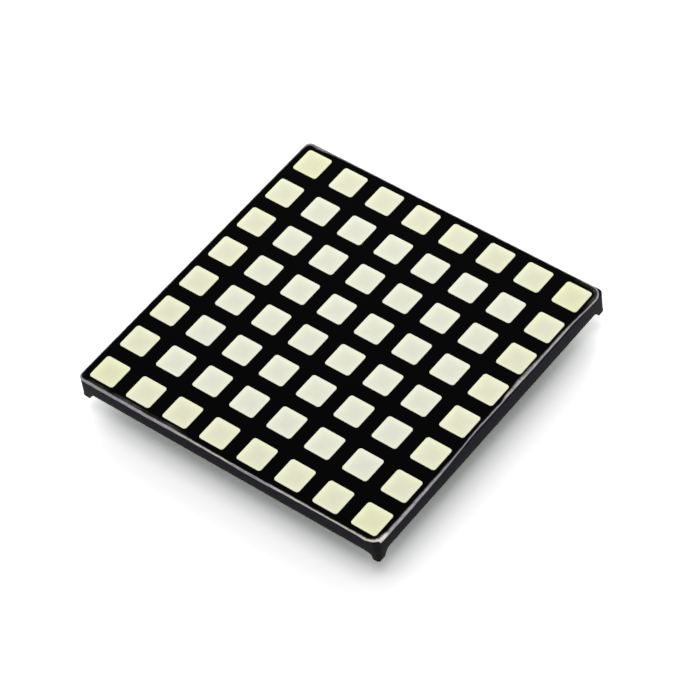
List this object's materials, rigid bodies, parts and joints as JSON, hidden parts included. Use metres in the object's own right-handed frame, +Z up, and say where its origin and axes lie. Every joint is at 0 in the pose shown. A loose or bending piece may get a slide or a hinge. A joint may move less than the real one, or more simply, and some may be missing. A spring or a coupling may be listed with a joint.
{
  "type": "led dot matrix",
  "caption": "Slim square dot matrix display: a black housing with square pale dots in even rows, small corner feet and two rows of pins underneath.",
  "frame": {"origin": "on the surface that the pin tips stand on, under the centre of the square body", "axes": "+Z up through the face; X along the two pin rows; Y across them"},
  "size_m": [0.06, 0.06, 0.0079],
  "materials": {
    "housing_plastic": "black moulded plastic, satin on the sides",
    "cast_resin": "pale diffusing resin, smooth and slightly glossy",
    "face_film": "black film, smooth",
    "board_laminate": "green solder resist over laminate",
    "red_die": "semiconductor die",
    "green_die": "semiconductor die",
    "blue_die": "semiconductor die",
    "solder": "dull tin solder",
    "tinned_wire": "tinned round wire"
  },
  "bodies": {
    "root": {"housing": "housing_plastic", "resin": "cast_resin", "face_film": "face_film", "circuit_board": "board_laminate", "red_dies": "red_die", "green_dies": "green_die", "blue_dies": "blue_die", "solder_joints": "solder", "pin_01": "tinned_wire", "pin_02": "tinned_wire", "pin_03": "tinned_wire", "pin_04": "tinned_wire", "pin_05": "tinned_wire", "pin_06": "tinned_wire", "pin_07": "tinned_wire", "pin_08": "tinned_wire", "pin_09": "tinned_wire", "pin_10": "tinned_wire", "pin_11": "tinned_wire", "pin_12": "tinned_wire", "pin_13": "tinned_wire", "pin_14": "tinned_wire", "pin_15": "tinned_wire", "pin_16": "tinned_wire", "pin_17": "tinned_wire", "pin_18": "tinned_wire", "pin_19": "tinned_wire", "pin_20": "tinned_wire", "pin_21": "tinned_wire", "pin_22": "tinned_wire", "pin_23": "tinned_wire", "pin_24": "tinned_wire", "pin_25": "tinned_wire", "pin_26": "tinned_wire", "pin_27": "tinned_wire", "pin_28": "tinned_wire", "pin_29": "tinned_wire", "pin_30": "tinned_wire", "pin_31": "tinned_wire", "pin_32": "tinned_wire"}
  },
  "joints": []
}
